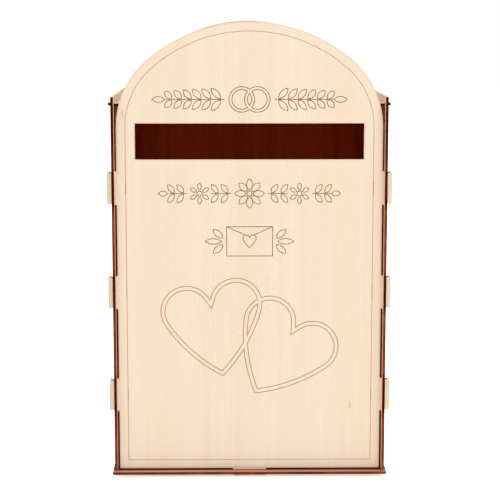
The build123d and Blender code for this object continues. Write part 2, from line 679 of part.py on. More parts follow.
def lock_plug():
    """The turning plug: a head with a keyway, a body in the bore and a square for the cam."""
    head = across(PLUG_HEAD_RADIUS, PLUG_SEAT, PLUG_FACE, LOCK_X, LOCK_Z)
    head = fillet(head.edges().group_by(Axis.Y)[-1], PLUG_HEAD * LOCK_ROUND)
    plug = head + across(PLUG_RADIUS, PLUG_END, PLUG_SEAT, LOCK_X, LOCK_Z)
    half = CAM_SQUARE / 2
    plug += block((LOCK_X - half, CAM_BACK, LOCK_Z - half),
                  (LOCK_X + half, PLUG_END, LOCK_Z + half))
    keyway = (KEY_THICK / 2 + KEY_GAP, KEY_WIDTH / 2 + KEY_GAP)
    plug -= block((LOCK_X - keyway[0], PLUG_FACE - KEY_DEPTH - KEY_GAP, LOCK_Z - keyway[1]),
                  (LOCK_X + keyway[0], PLUG_FACE + 1, LOCK_Z + keyway[1]))
    return plug - across(CAM_SCREW_RADIUS, CAM_BACK - 1, CAM_BACK + CAM_SCREW_DEPTH,
                         LOCK_X, LOCK_Z)


def lock_cam():
    """The cam, hanging down when unlocked: a strip joggled up to the back of the panel."""
    high = INNER_Y - CAM_GAP
    rise = high - PLUG_END
    flat = LOCK_Z - CAM_FLAT
    bent = flat - CAM_JOGGLE
    end = LOCK_Z - CAM_LENGTH
    top = LOCK_Z + CAM_WIDTH / 2
    side = [
        (PLUG_END, top), (PLUG_END, flat), (PLUG_END + rise, bent), (PLUG_END + rise, end),
        (PLUG_END + rise - CAM_THICK, end), (PLUG_END + rise - CAM_THICK, bent),
        (CAM_BACK, flat), (CAM_BACK, top),
    ]
    half = CAM_WIDTH / 2
    profile = Plane(origin=(LOCK_X - half, 0, 0), x_dir=(0, 1, 0), z_dir=(1, 0, 0))
    strip = extrude(profile * make_face(Polyline(*side, close=True)), amount=CAM_WIDTH)
    outline = rectangle(LOCK_X - half, LOCK_X + half, end + half, LOCK_Z)
    outline += Pos(LOCK_X, LOCK_Z) * Circle(half) + Pos(LOCK_X, end + half) * Circle(half)
    face = Plane(origin=(0, CAM_BACK - 1, 0), x_dir=(-1, 0, 0), z_dir=(0, 1, 0))
    strip &= extrude(face * mirror(outline, about=Plane.YZ), amount=rise + CAM_THICK + 2)
    square = CAM_SQUARE / 2
    return strip - block((LOCK_X - square, CAM_BACK - 1, LOCK_Z - square),
                         (LOCK_X + square, PLUG_END + 1, LOCK_Z + square))


def lock_cam_screw():
    """The screw that holds the cam on the plug."""
    head = across(CAM_SCREW_HEAD_RADIUS, CAM_BACK - CAM_SCREW_HEAD, CAM_BACK, LOCK_X, LOCK_Z)
    head = fillet(head.edges().group_by(Axis.Y)[0], CAM_SCREW_HEAD * LOCK_ROUND)
    return head + across(CAM_SCREW_RADIUS, CAM_BACK, CAM_BACK + CAM_SCREW_DEPTH, LOCK_X, LOCK_Z)


def lock_key():
    """The flat key, in the plug: a blade with cuts, a neck and a round bow with an eye."""
    tip = PLUG_FACE - KEY_DEPTH
    shoulder = PLUG_FACE + KEY_GAP
    half = KEY_WIDTH / 2
    bow = shoulder + KEY_NECK + KEY_BOW_RADIUS * KEY_BOW_PLACE
    along, across_tip = KEY_POINT
    pitch = KEY_DEPTH / (len(KEY_CUTS) + 1)
    blade = [(tip, half - across_tip), (tip + along, half)]
    for k, depth in enumerate(KEY_CUTS, start=1):
        cut = tip + k * pitch
        blade += [(cut - KEY_CUT_HALF, half), (cut, half - depth), (cut + KEY_CUT_HALF, half)]
    blade += [(shoulder, half), (shoulder, -half), (tip + along, -half), (tip, across_tip - half)]
    face = make_face(Polyline(*blade, close=True))
    face += rectangle(shoulder, bow, -half - KEY_SHOULDER, half + KEY_SHOULDER)
    face += Pos(bow, 0) * Circle(KEY_BOW_RADIUS)
    face -= Pos(bow + KEY_BOW_RADIUS * KEY_EYE_PLACE, 0) * Circle(KEY_EYE_RADIUS)
    place = Plane(origin=(LOCK_X - KEY_THICK / 2, 0, LOCK_Z), x_dir=(0, 1, 0), z_dir=(1, 0, 0))
    return extrude(place * face, amount=KEY_THICK)


# ---- The whole box -------------------------------------------------------------------
def nodes():
    """Each separate piece of the box, by name. A list is a group of identical fasteners."""
    pieces = {
        "front_panel": front_panel(),
        "back_panel": back_panel(),
        "side_panel_left": side_panel(-1),
        "side_panel_right": side_panel(1),
        "base_plate": base_plate(),
        "top_plate": top_plate(),
        "back_door": back_door(),
    }
    for name, level in HINGE_LEVELS.items():
        pieces[f"hinge_{name}_frame_leaf"] = hinge_leaf(level, 1)
        pieces[f"hinge_{name}_door_leaf"] = hinge_leaf(level, -1)
        pieces[f"hinge_{name}_pin"] = hinge_pin(level)
    for name, side in (("frame", 1), ("door", -1)):
        pieces[f"hinge_{name}_bolts"] = hinge_bolts(side)
        pieces[f"hinge_{name}_nuts"] = hinge_nuts(side)
    pieces["lock_barrel"] = lock_barrel()
    pieces["lock_nut"] = lock_nut()
    pieces["lock_plug"] = lock_plug()
    pieces["lock_cam"] = lock_cam()
    pieces["lock_cam_screw"] = lock_cam_screw()
    pieces["lock_key"] = lock_key()
    return pieces


os.makedirs("parts", exist_ok=True)
for node_name, piece in nodes().items():
    shape = Compound(children=piece) if isinstance(piece, list) else piece
    export_step(shape, f"parts/{node_name}.step")
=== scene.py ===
import math

import bpy
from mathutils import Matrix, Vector


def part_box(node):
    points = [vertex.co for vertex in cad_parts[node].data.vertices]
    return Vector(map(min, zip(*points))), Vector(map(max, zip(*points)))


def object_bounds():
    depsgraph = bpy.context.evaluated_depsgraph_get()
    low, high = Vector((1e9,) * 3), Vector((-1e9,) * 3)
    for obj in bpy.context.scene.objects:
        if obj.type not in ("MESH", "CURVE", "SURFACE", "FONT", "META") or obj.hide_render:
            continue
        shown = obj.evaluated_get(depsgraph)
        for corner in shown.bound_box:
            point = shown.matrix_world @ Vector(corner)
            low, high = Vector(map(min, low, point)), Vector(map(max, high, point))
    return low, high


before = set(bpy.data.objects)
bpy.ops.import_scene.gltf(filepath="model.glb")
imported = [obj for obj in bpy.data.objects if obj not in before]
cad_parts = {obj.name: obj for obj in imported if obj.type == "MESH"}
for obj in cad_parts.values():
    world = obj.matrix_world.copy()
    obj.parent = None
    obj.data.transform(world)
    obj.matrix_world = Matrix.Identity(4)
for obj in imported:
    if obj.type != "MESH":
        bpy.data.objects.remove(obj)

CAD_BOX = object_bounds()

# ---- Sizes taken from the frame, in metres -------------------------------------------
FRONT_LOW, FRONT_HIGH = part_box("front_panel")
BACK_LOW, BACK_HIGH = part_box("back_panel")
SIDE_LOW, SIDE_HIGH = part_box("side_panel_right")
BASE_LOW, BASE_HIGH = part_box("base_plate")
TOP_LOW, TOP_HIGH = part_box("top_plate")
DOOR_LOW, DOOR_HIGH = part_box("back_door")
SHEET = FRONT_HIGH.y - FRONT_LOW.y              # thickness of the plywood
ARCH_TOP = FRONT_HIGH.z

# ---- Sizes of the arched panels that the frame's boxes don't give --------------------
HALF_PANEL = 0.12075                            # middle to the straight edge
PANEL_FOOT = 0.0040                             # lower edge over the base's underside
ARCH_RISE = 0.0944
SHOULDER_RADIUS = 0.0785
TAB_LEVELS = (0.0744, 0.17055, 0.2667)          # middles of the snap tabs
TAB_HALF = 0.0155                               # shoulder of a tab
TAB_NECK = 0.0139
BARB_PEAK = 0.0032                              # past the side
BARB_SLOPE = 0.5
SLOT_HALF = 0.1037
SLOT_LOW, SLOT_HIGH = 0.2930, 0.3256
GROOVE_DEPTH = 0.00035
HEARTS_TOP = 0.186                              # over the linked hearts
BORDER_END = 0.0095                             # panel edge to the inside of the border line


# ---- Colours -------------------------------------------------------------------------
def srgb(red, green, blue):
    """A colour given as display values from 0 to 255, as the linear values of a shader."""
    def linear(value):
        value /= 255
        return value / 12.92 if value <= 0.04045 else ((value + 0.055) / 1.055) ** 2.4
    return (linear(red), linear(green), linear(blue), 1.0)


PALE_WOOD = srgb(212, 196, 176)
WARM_WOOD = srgb(205, 183, 158)
PORE_WOOD = srgb(178, 150, 122)
# Inner faces: the palest and warmest tone of the rim outside the walls, then of the cavity. In
# INNER, BACK_INNER and BASE_INNER the cavity tones are painted shade, darker and redder for the
# dim inside of the box; the back panel's deep red ones are the shade seen through the letter slot.
INNER = (srgb(232, 186, 160), srgb(218, 162, 134), srgb(214, 158, 120), srgb(194, 134, 96))
BACK_INNER = (srgb(232, 186, 160), srgb(218, 162, 134), srgb(214, 84, 34), srgb(190, 64, 22))
BASE_INNER = (srgb(200, 150, 124), srgb(184, 128, 102), srgb(214, 158, 120), srgb(194, 134, 96))
DOOR_INNER = (srgb(214, 192, 166), srgb(204, 174, 142)) * 2
PORE_INNER = srgb(110, 54, 32)
# Soot under the barbs, and painted shade on the base along the foot of the walls.
SOOT_AND_SHADE = srgb(66, 34, 22)
SMOKE = srgb(184, 134, 90)
KNOT = srgb(168, 112, 66)
BORDER_BROWN = srgb(200, 163, 128)
HEART_BROWN = srgb(186, 142, 102)
GROOVE_BROWN = srgb(166, 122, 86)
GROOVE_DARK = srgb(118, 74, 46)
CHAR_BLACK = srgb(54, 8, 1)
CHAR_RED = srgb(94, 32, 10)
CHAR_TAN = srgb(138, 68, 38)
GLUE_DARK = srgb(40, 8, 3)


# ---- Shader building -----------------------------------------------------------------
class Shader:
    """Puts nodes into a material or a node group. A socket given as a value is linked."""

    def __init__(self, tree):
        self.tree = tree

    def put(self, kind, values=(), **settings):
        """A node with its settings, and its inputs set by name or by number."""
        made = self.tree.nodes.new(kind)
        for name, value in settings.items():
            setattr(made, name, value)
        for name, value in dict(values).items():
            if isinstance(value, bpy.types.NodeSocket):
                self.tree.links.new(value, made.inputs[name])
            else:
                made.inputs[name].default_value = value
        return made

    def math(self, operation, *values):
        """One arithmetic step."""
        return self.put("ShaderNodeMath", enumerate(values), operation=operation).outputs[0]

    def lowest(self, *values):
        """The smallest of several values."""
        result = values[0]
        for value in values[1:]:
            result = self.math("MINIMUM", result, value)
        return result

    def highest(self, *values):
        """The largest of several values."""
        result = values[0]
        for value in values[1:]:
            result = self.math("MAXIMUM", result, value)
        return result

    def choose(self, share, first, second):
        """The first value where share is 0 and the second where it is 1."""
        return self.math("MULTIPLY_ADD", share, self.math("SUBTRACT", second, first), first)

    def fade(self, value, start, end, low=0.0, high=1.0):
        """A smooth step of value from low at start to high at end."""
        made = self.put("ShaderNodeMapRange", {
            "Value": value, "From Min": start, "From Max": end, "To Min": low,
            "To Max": high}, interpolation_type="SMOOTHSTEP")
        return made.outputs["Result"]

    def mix(self, share, first, second):
        """Two colours mixed by a share. The node's colour inputs go by number, because
        its other data types have inputs with the same names."""
        return self.put("ShaderNodeMix", {0: share, 6: first, 7: second},
                        data_type="RGBA").outputs[2]

    def stretch(self, vector, scale, shift=(0, 0, 0)):
        """Coordinates scaled along each axis, then shifted."""
        return self.put("ShaderNodeMapping", {"Vector": vector, "Scale": scale,
                                              "Location": shift}).outputs[0]

    def noise(self, vector, detail=3.0, roughness=0.55, distortion=0.0):
        """Soft noise from 0 to 1, as fine as the vector is stretched."""
        made = self.put("ShaderNodeTexNoise", {
            "Vector": vector, "Scale": 1.0, "Detail": detail, "Roughness": roughness,
            "Distortion": distortion})
        return made.outputs["Fac"]

    def parts(self, vector):
        """The three coordinates of a vector."""
        return self.put("ShaderNodeSeparateXYZ", {0: vector}).outputs

    def vector(self, x, y, z):
        """A vector from three coordinates."""
        return self.put("ShaderNodeCombineXYZ", {0: x, 1: y, 2: z}).outputs[0]

    def bump(self, height, strength, distance):
        """A normal tilted by a height."""
        return self.put("ShaderNodeBump", {
            "Height": height, "Strength": strength, "Distance": distance}).outputs[0]


# ---- Shader groups -------------------------------------------------------------------
# A pattern's fineness is in noise cells per metre, along X, Y and Z.
GROUPS = {}

SWAY_CELLS = (9, 9, 3)
SWAY_REACH = 0.012                              # how far the grain wanders, in metres
BROAD_CELLS = (34, 34, 2.2)
STREAK_CELLS = (240, 240, 3.5)
FINE_CELLS = (1500, 1500, 22)
PORE_CELLS = (2100, 2100, 90)
PORE_LIMITS = (0.66, 0.80)
PORE_SHARE = 0.35
TONE_LIMITS = (0.38, 0.74)
BROAD_SHARE, STREAK_SHARE, FINE_SHARE = 0.45, 0.40, 0.25
FINE_HEIGHT = 0.6                               # against a pore's depth of 1

CHAR_CELLS = (60, 60, 60)
CORE_LIMITS = (0.20, 0.14)                      # from the sheet's middle, in thicknesses
GLUE_PLACE = 0.17
GLUE_LIMITS = (0.035, 0.010)
PATCH_SHARE, RIDGE_SHARE, CORE_SHARE = 0.75, 0.25, 0.10
TAN_LIMITS = (-0.55, 0.05)                      # burn from bare wood to tan
RED_LIMITS = (0.25, 0.75)
BLACK_LIMITS = (0.70, 1.15)
GLUE_SHARE = 0.7
GLUE_DEPTH = 0.6                                # against a ridge's height of 1

SMOKE_CELLS = (95, 95, 95)
SMOKE_DRIFT = 0.5
SMOKE_FALL = 1.6                                # power of the fall away from the cut


def group(name, inputs, outputs):
    """A new node group with named inputs and outputs, and its shader builder."""
    tree = bpy.data.node_groups.new(name, "ShaderNodeTree")
    for kind, sockets in (("INPUT", inputs), ("OUTPUT", outputs)):
        for socket, socket_type in sockets.items():
            tree.interface.new_socket(socket, in_out=kind, socket_type="NodeSocket" + socket_type)
    shader = Shader(tree)
    GROUPS[name] = tree
    return shader, shader.put("NodeGroupInput").outputs, shader.put("NodeGroupOutput").inputs


def use(shader, name, **values):
    """A placed group, with underscores in its input names read as spaces."""
    named = {key.replace("_", " "): value for key, value in values.items()}
    return shader.put("ShaderNodeGroup", named, node_tree=GROUPS[name]).outputs


def wood_grain_group():
    """Basswood face grain running along Z: broad tone, streaks, and short fine pores."""
    shader, given, result = group(
        "wood_grain",
        {"Position": "Vector", "Pale": "Color", "Warm": "Color", "Pore": "Color",
         "Strength": "Float"},
        {"Color": "Color", "Height": "Float"})
    position = given["Position"]
    sway = shader.noise(shader.stretch(position, SWAY_CELLS), detail=1)
    x, y, z = shader.parts(position)
    bent = shader.math("MULTIPLY_ADD", sway, SWAY_REACH, x)
    swayed = shader.vector(bent, y, z)
    broad = shader.noise(shader.stretch(swayed, BROAD_CELLS), detail=2)
    streak = shader.noise(shader.stretch(swayed, STREAK_CELLS), detail=4, roughness=0.6)
    fine = shader.noise(shader.stretch(swayed, FINE_CELLS), detail=2)
    pore = shader.fade(shader.noise(shader.stretch(swayed, PORE_CELLS), detail=1), *PORE_LIMITS)
    tone = shader.math("MULTIPLY_ADD", broad, BROAD_SHARE,
                       shader.math("MULTIPLY", streak, STREAK_SHARE))
    tone = shader.math("MULTIPLY_ADD", fine, FINE_SHARE, tone)
    tone = shader.fade(tone, *TONE_LIMITS)
    tone = shader.math("MULTIPLY", tone, given["Strength"])
    colour = shader.mix(tone, given["Pale"], given["Warm"])
    pores = shader.math("MULTIPLY", pore, shader.math("MULTIPLY", given["Strength"], PORE_SHARE))
    colour = shader.mix(pores, colour, given["Pore"])
    height = shader.math("SUBTRACT", shader.math("MULTIPLY", fine, FINE_HEIGHT), pore)
    shader.tree.links.new(colour, result["Color"])
    shader.tree.links.new(height, result["Height"])


def laser_edge_group():
    """A laser-cut plywood edge: three plies, glue lines, charring and fine ridges across."""
    shader, given, result = group(
        "laser_edge",
        {"Position": "Vector", "Depth": "Float", "Across": "Vector", "Burn": "Float"},
        {"Color": "Color", "Height": "Float"})
    depth = given["Depth"]
    middle = shader.math("ABSOLUTE", shader.math("SUBTRACT", depth, 0.5))
    core = shader.fade(middle, *CORE_LIMITS)
    glue = shader.math("ABSOLUTE", shader.math("SUBTRACT", middle, GLUE_PLACE))
    glue = shader.fade(glue, *GLUE_LIMITS)
    patches = shader.noise(shader.stretch(given["Position"], CHAR_CELLS), detail=3)
    ridges = shader.noise(given["Across"], detail=2)
    burn = shader.math("MULTIPLY_ADD", patches, PATCH_SHARE, given["Burn"])
    burn = shader.math("ADD", burn, shader.math("MULTIPLY", ridges, RIDGE_SHARE))
    burn = shader.math("SUBTRACT", burn, shader.math("MULTIPLY", core, CORE_SHARE))
    colour = shader.mix(shader.fade(burn, *TAN_LIMITS), WARM_WOOD, CHAR_TAN)
    colour = shader.mix(shader.fade(burn, *RED_LIMITS), colour, CHAR_RED)
    colour = shader.mix(shader.fade(burn, *BLACK_LIMITS), colour, CHAR_BLACK)
    colour = shader.mix(shader.math("MULTIPLY", glue, GLUE_SHARE), colour, GLUE_DARK)
    height = shader.math("SUBTRACT", ridges, shader.math("MULTIPLY", glue, GLUE_DEPTH))
    shader.tree.links.new(colour, result["Color"])
    shader.tree.links.new(height, result["Height"])


def smoke_group():
    """The tan stain that the laser leaves on the face beside a cut, from the distance to it."""
    shader, given, result = group(
        "smoke_stain",
        {"Color": "Color", "Distance": "Float", "Position": "Vector", "Width": "Float",
         "Strength": "Float"},
        {"Color": "Color"})
    drift = shader.noise(shader.stretch(given["Position"], SMOKE_CELLS), detail=2)
    width = shader.math("MULTIPLY", given["Width"], shader.math("ADD", drift, SMOKE_DRIFT))
    stain = shader.fade(given["Distance"], width, 0.0)
    stain = shader.math("POWER", stain, SMOKE_FALL)
    stain = shader.math("MULTIPLY", stain, given["Strength"])
    stained = shader.mix(stain, given["Color"], SMOKE)
    shader.tree.links.new(stained, result["Color"])


def rectangle_group():
    """Distance from a point to the edge of a rectangle, positive inside it."""
    shader, given, result = group(
        "rectangle_edge",
        {"Across": "Float", "Up": "Float", "Low across": "Float", "High across": "Float",
         "Low up": "Float", "High up": "Float"},
        {"Distance": "Float"})
    distance = shader.lowest(
        shader.math("SUBTRACT", given["Across"], given["Low across"]),
        shader.math("SUBTRACT", given["High across"], given["Across"]),
        shader.math("SUBTRACT", given["Up"], given["Low up"]),
        shader.math("SUBTRACT", given["High up"], given["Up"]))
    shader.tree.links.new(distance, result["Distance"])


def arch_group():
    """Distance from a point to the edge of the arched panel, positive inside it: the nearest
    of the straight sides and foot, the shoulder arcs and the crown arc."""
    shader, given, result = group(
        "arch_edge", {"Across": "Float", "Up": "Float"}, {"Distance": "Float"})
    span = HALF_PANEL - SHOULDER_RADIUS
    crown = (span**2 + ARCH_RISE**2 - SHOULDER_RADIUS**2) / (2 * (ARCH_RISE - SHOULDER_RADIUS))
    spring = ARCH_TOP - ARCH_RISE
    across = shader.math("ABSOLUTE", given["Across"])
    up = given["Up"]

    def inside_circle(centre_across, centre_up, radius):
        run = shader.math("SUBTRACT", across, centre_across)
        rise = shader.math("SUBTRACT", up, centre_up)
        squares = shader.math("MULTIPLY_ADD", run, run, shader.math("MULTIPLY", rise, rise))
        return shader.math("SUBTRACT", radius, shader.math("SQRT", squares))

    straight = shader.lowest(
        shader.math("SUBTRACT", HALF_PANEL, across), shader.math("SUBTRACT", up, PANEL_FOOT))
    shoulder = inside_circle(span, spring, SHOULDER_RADIUS)
    top = inside_circle(0.0, ARCH_TOP - crown, crown)
    slope = (spring - (ARCH_TOP - crown)) / span
    line = shader.math("MULTIPLY_ADD", across, slope, ARCH_TOP - crown)
    on_shoulder = shader.math("MULTIPLY", shader.math("LESS_THAN", up, line),
                              shader.math("GREATER_THAN", across, span))
    arc = shader.choose(on_shoulder, top, shoulder)
    above_spring = shader.math("GREATER_THAN", up, spring)
    whole = shader.choose(above_spring, straight, shader.lowest(straight, arc))
    shader.tree.links.new(whole, result["Distance"])


# ---- Wood materials ------------------------------------------------------------------
KNOT_CELLS = (700, 700, 260)
KNOT_LIMITS = (0.42, 0.62)
KNOT_SHARE = 0.55
INNER_GRAIN = 0.55                              # strength of the grain on inner faces
# CAVITY_LIMITS places where the painted cavity shade sets in.
CAVITY_LIMITS = (0.9, 0.1)                      # from a panel's inner face into it, in sheets
STAIN_WIDTH = 0.0022
STAIN_STRENGTH = 0.30
RIDGES_THROUGH = 150                            # ridge cells per metre through the sheet
RIDGES_ALONG = 1700
GROOVE_LIMITS = (0.4, 0.8)                      # in groove depths
GROOVE_END = 1.5
SPECKLE_CELLS = (420, 420, 420)
SPECKLE_LIMITS = (0.42, 0.70)
HEART_SHARE = 0.7
WOOD_BUMP, WOOD_BUMP_HEIGHT = 0.3, 0.00010
EDGE_ROUGHNESS, FACE_ROUGHNESS, ROUGHNESS_SWING = 0.46, 0.56, 0.10
WOOD_SPECULAR = 0.02

TAB_BURNS = (0.42, 0.95)                        # at the panel's edge, and past the sides
SOOT_LIMITS = (-0.0010, -0.0004)                # over the slope of a barb
SOOT_END = 0.0010
SOOT_SHARE = 0.75
# Painted shade: how far in front of a panel's outer face the base is darkened for the gap under
# it.
FOOT_SHADE_LIMITS = (0.0040, 0.0012)             # past the outer face of a panel
FOOT_SHADE_SHARE = 0.8
SIDE_BURN_LIMITS = (0.11, 0.02)                 # under the top of a side
SIDE_BURNS = (0.10, 0.62)                       # low down, and near the top
SIDE_TAB_LIMITS = (1.5, 0.8)                    # from the middle of a tab, in half tabs
SIDE_TAB_BURNS = (0.10, 0.7)
SIDE_TOP_LIMITS = (1 / 8, 1 / 16)               # under the top of a side, in sheets
# A paler top on each side: a painted sheen, made by taking burn away there.
SIDE_TOP_SHEEN = -1.8
DOOR_BURN, BASE_BURN, TOP_BURN = 0.42, 0.15, 0.55


def new_material(name):
    """A material with an empty tree, its shader builder and its Principled node."""
    material = bpy.data.materials.new(name)
    material.use_nodes = True
    material.node_tree.nodes.clear()
    shader = Shader(material.node_tree)
    surface = shader.put("ShaderNodeBsdfPrincipled")
    output = shader.put("ShaderNodeOutputMaterial")
    material.node_tree.links.new(surface.outputs[0], output.inputs["Surface"])
    return material, shader, surface


def rectangle_distance(shader, across, up, low_across, high_across, low_up, high_up):
    """Distance to the edge of a rectangle, positive inside it."""
    return use(shader, "rectangle_edge", Across=across, Up=up, Low_across=low_across,
               High_across=high_across, Low_up=low_up, High_up=high_up)["Distance"]


def arched_distance(shader, across, up):
    """Distance to the edge of an arched panel with its side tabs."""
    distance = use(shader, "arch_edge", Across=across, Up=up)["Distance"]
    reach = FRONT_HIGH.x
    for level in TAB_LEVELS:
        tab = rectangle_distance(shader, across, up, -reach, reach, level - TAB_HALF,
                                 level + TAB_HALF)
        distance = shader.highest(distance, tab)
    return distance


def knots(shader, places, marks):
    """How much of a small knot or mineral streak there is at a point of a face: each mark
    is a place across and up, and a half width and half height, broken up by noise."""
    position = shader.vector(places["x"], places["y"], places["z"])
    broken = shader.noise(shader.stretch(position, KNOT_CELLS), detail=3, distortion=0.6)
    total = None
    for across, up, half_width, half_height in marks:
        run = shader.math("DIVIDE", shader.math("SUBTRACT", places["x"], across), half_width)
        rise = shader.math("DIVIDE", shader.math("SUBTRACT", places["z"], up), half_height)
        away = shader.math("MULTIPLY_ADD", run, run, shader.math("MULTIPLY", rise, rise))
        mark = shader.fade(away, 1.0, 0.0)
        total = mark if total is None else shader.highest(total, mark)
    return shader.math("MULTIPLY", total, shader.fade(broken, *KNOT_LIMITS))


def plywood(name, thin, low, inner, grain, shift, distance_to_cut, edge_burn, inner_tones=INNER,
            face_darkening=None, marks=(), engraved=False):
    """Bare plywood for one panel.

    thin is the axis through the sheet, low its lower face and inner the sign of the side
    that faces into the box. grain is the axis that the face grain runs along, and shift
    moves it, so that no two panels match. distance_to_cut and edge_burn work out, from the
    three coordinates, how far the nearest cut is and how dark a cut edge is; the darkening
    function, where given, works out how much laser smoke under the barbs, and painted shade
    on the base along the foot of the walls, darken the face. inner_tones colour the inner
    face, whose cavity tones are painted shade, marks are its knots, and engraved says that
    the outer face has grooves."""
    material, shader, surface = new_material(name)
    coordinates = shader.put("ShaderNodeTexCoord").outputs
    position = coordinates["Object"]
    places = dict(zip("xyz", shader.parts(position)))
    facing = dict(zip("xyz", shader.parts(coordinates["Normal"])))

    turned = {
        "z": (places["x"], places["y"], places["z"]),
        "x": (places["z"], places["y"], places["x"]),
        "y": (places["x"], places["z"], places["y"]),
    }[grain]
    turned = shader.stretch(shader.vector(*turned), (1, 1, 1), shift)
    is_inner = shader.math("GREATER_THAN", shader.math("MULTIPLY", facing[thin], inner), 0.5)
    is_inner = shader.math("MULTIPLY", is_inner,
                           shader.math("LESS_THAN", places["z"], TOP_HIGH.z))
    across = shader.math("ABSOLUTE", places["x"])
    reach = SIDE_HIGH.x if thin == "y" else BASE_HIGH.x
    is_inner = shader.math("MULTIPLY", is_inner, shader.math("LESS_THAN", across, reach))
    # Where the inner faces take the darker, redder cavity tones, painted shade for the dim inside
    # of the box.
    cavity_shade_mask = shader.fade(shader.math("ABSOLUTE", places["y"]),
                            *(BACK_LOW.y + SHEET * share for share in CAVITY_LIMITS))
    cavity_shade_mask = shader.math("MULTIPLY", cavity_shade_mask, shader.math("LESS_THAN", across, SIDE_HIGH.x))
    cavity_shade_mask = shader.math("MULTIPLY", cavity_shade_mask, is_inner)

    def tone(outer, rim, cavity):
        """One of three colours: outer face, inner face at the rim, or the painted shade of the
        cavity.
        """
        return shader.mix(cavity_shade_mask, shader.mix(is_inner, outer, rim), cavity)

    pale_rim, warm_rim, pale_cavity_shade, warm_cavity_shade = inner_tones
    face = use(shader, "wood_grain", Position=turned,
               Pale=tone(PALE_WOOD, pale_rim, pale_cavity_shade),
               Warm=tone(WARM_WOOD, warm_rim, warm_cavity_shade),
               Pore=tone(PORE_WOOD, PORE_INNER, PORE_INNER),
               Strength=shader.choose(is_inner, INNER_GRAIN, 1.0))
    distance = distance_to_cut(shader, places)
    face_colour = use(shader, "smoke_stain", Color=face["Color"], Distance=distance,
                      Position=position, Width=STAIN_WIDTH, Strength=STAIN_STRENGTH)["Color"]
    # Laser smoke under the barbs, and painted shade on the base along the foot of the walls,
    # darken the face here.
    if face_darkening:
        face_colour = shader.mix(face_darkening(shader, places), face_colour, SOOT_AND_SHADE)
    if marks:
        knotty = shader.math("MULTIPLY", knots(shader, places, marks), KNOT_SHARE)
        face_colour = shader.mix(knotty, face_colour, KNOT)

    depth = shader.math("DIVIDE", shader.math("SUBTRACT", places[thin], low), SHEET)
    ridges = tuple(RIDGES_THROUGH if axis == thin else RIDGES_ALONG for axis in "xyz")
    edge = use(shader, "laser_edge", Position=position, Depth=depth,
               Across=shader.stretch(position, ridges), Burn=edge_burn(shader, places))

    is_face = shader.math("GREATER_THAN", shader.math("ABSOLUTE", facing[thin]), 0.5)
    is_edge = shader.math("SUBTRACT", 1.0, is_face)
    colour = shader.mix(is_face, edge["Color"], face_colour)
    if engraved:
        sunk = shader.math("SUBTRACT", places[thin], low)
        in_groove = shader.fade(sunk, *(GROOVE_DEPTH * share for share in GROOVE_LIMITS))
        shallow = shader.math("LESS_THAN", sunk, GROOVE_DEPTH * GROOVE_END)
        in_groove = shader.highest(shader.math("MULTIPLY", in_groove, shallow),
                                   shader.math("MULTIPLY", is_edge, shallow))
        inside = shader.math("GREATER_THAN", distance, GROOVE_DEPTH)
        in_groove = shader.math("MULTIPLY", in_groove, inside)
        speckle = shader.noise(shader.stretch(position, SPECKLE_CELLS), detail=3)
        groove = shader.mix(shader.fade(speckle, *SPECKLE_LIMITS), GROOVE_BROWN, GROOVE_DARK)
        in_hearts = shader.fade(places["z"], HEARTS_TOP, HEARTS_TOP - SHEET)
        groove = shader.mix(shader.math("MULTIPLY", in_hearts, HEART_SHARE), groove, HEART_BROWN)
        groove = shader.mix(shader.fade(distance, BORDER_END, BORDER_END + GROOVE_DEPTH),
                            BORDER_BROWN, groove)
        colour = shader.mix(in_groove, colour, groove)
    height = shader.choose(is_face, edge["Height"], face["Height"])
    material.node_tree.links.new(colour, surface.inputs["Base Color"])
    bumps = shader.bump(height, WOOD_BUMP, WOOD_BUMP_HEIGHT)
    material.node_tree.links.new(bumps, surface.inputs["Normal"])
    rough = shader.math("MULTIPLY_ADD", height, ROUGHNESS_SWING,
                        shader.choose(is_face, EDGE_ROUGHNESS, FACE_ROUGHNESS))
    material.node_tree.links.new(rough, surface.inputs["Roughness"])
    surface.inputs["Specular IOR Level"].default_value = WOOD_SPECULAR
    return material


def front_cuts(shader, places):
    """Distance to the front panel's outline or its letter slot."""
    outline = arched_distance(shader, places["x"], places["z"])
    slot = rectangle_distance(shader, places["x"], places["z"], -SLOT_HALF, SLOT_HALF,
                              SLOT_LOW, SLOT_HIGH)
    return shader.lowest(outline, shader.math("MULTIPLY", slot, -1.0))


def back_cuts(shader, places):
    """Distance to the back panel's outline or its doorway."""
    outline = arched_distance(shader, places["x"], places["z"])
    doorway = rectangle_distance(shader, places["x"], places["z"], DOOR_LOW.x, DOOR_HIGH.x,
                                 DOOR_LOW.z, DOOR_HIGH.z)
    return shader.lowest(outline, shader.math("MULTIPLY", doorway, -1.0))


def arched_edge_burn(shader, places):
    """Darker charring round the snap tabs of an arched panel, past the sides."""
    across = shader.math("ABSOLUTE", places["x"])
    return shader.fade(across, HALF_PANEL, SIDE_HIGH.x, *TAB_BURNS)


def barb_soot(shader, places):
    """Soot under the upper slope of each barb, where the beam starts to cut."""
    past = shader.math("SUBTRACT", shader.math("ABSOLUTE", places["x"]), SIDE_HIGH.x)
    on_slope = shader.math("MULTIPLY", shader.math("GREATER_THAN", past, 0.0),
                           shader.math("LESS_THAN", past, BARB_PEAK))
    face_darkening = None
    for level in TAB_LEVELS:
        rise = shader.math("SUBTRACT", places["z"], level + TAB_NECK)
        over = shader.math("SUBTRACT", rise, shader.math("MULTIPLY", past, BARB_SLOPE))
        line = shader.fade(over, *SOOT_LIMITS)
        line = shader.math("MULTIPLY", line, shader.math("LESS_THAN", over, SOOT_END))
        face_darkening = line if face_darkening is None else shader.highest(face_darkening, line)
    return shader.math("MULTIPLY", face_darkening, shader.math("MULTIPLY", on_slope, SOOT_SHARE))


